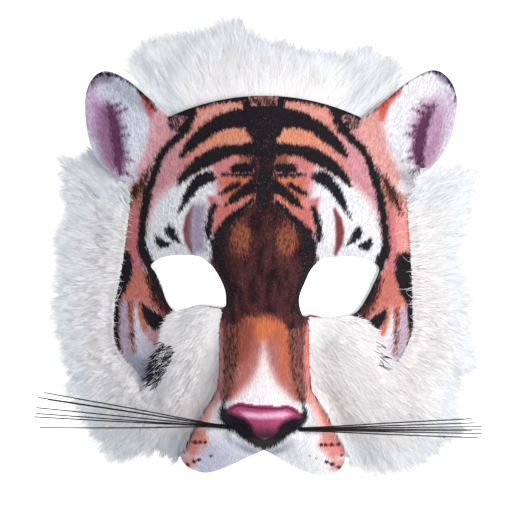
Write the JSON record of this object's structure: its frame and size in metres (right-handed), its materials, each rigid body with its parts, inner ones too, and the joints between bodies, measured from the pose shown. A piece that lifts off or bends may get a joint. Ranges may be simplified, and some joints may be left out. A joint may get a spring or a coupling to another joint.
{
  "type": "tiger half mask",
  "caption": "Moulded half mask of a tiger's face with ears, eye holes, nose and muzzle, long white fur around it and stiff whiskers.",
  "frame": {"origin": "centre of the box at the floor that the mask lies on, face up", "axes": "+Z out of the face, +Y to the top of the head, +X to the viewer's right"},
  "size_m": [0.2355, 0.2468, 0.0672],
  "materials": {
    "printed_pile": "short printed velour pile on a moulded shell, matt, orange with black, white and rose",
    "long_fur": "long white pile of soft imitation fur, matt",
    "bristle": "stiff round monofilament, dark olive black, satin gloss"
  },
  "bodies": {
    "root": {"mask_shell": "printed_pile", "fur_crest": "long_fur", "fur_ruff_left": "long_fur", "fur_ruff_right": "long_fur", "whisker_left_1": "bristle", "whisker_left_2": "bristle", "whisker_left_3": "bristle", "whisker_left_4": "bristle", "whisker_left_5": "bristle", "whisker_left_6": "bristle", "whisker_left_7": "bristle", "whisker_right_1": "bristle", "whisker_right_2": "bristle", "whisker_right_3": "bristle", "whisker_right_4": "bristle", "whisker_right_5": "bristle", "whisker_right_6": "bristle", "whisker_right_7": "bristle"}
  },
  "joints": []
}
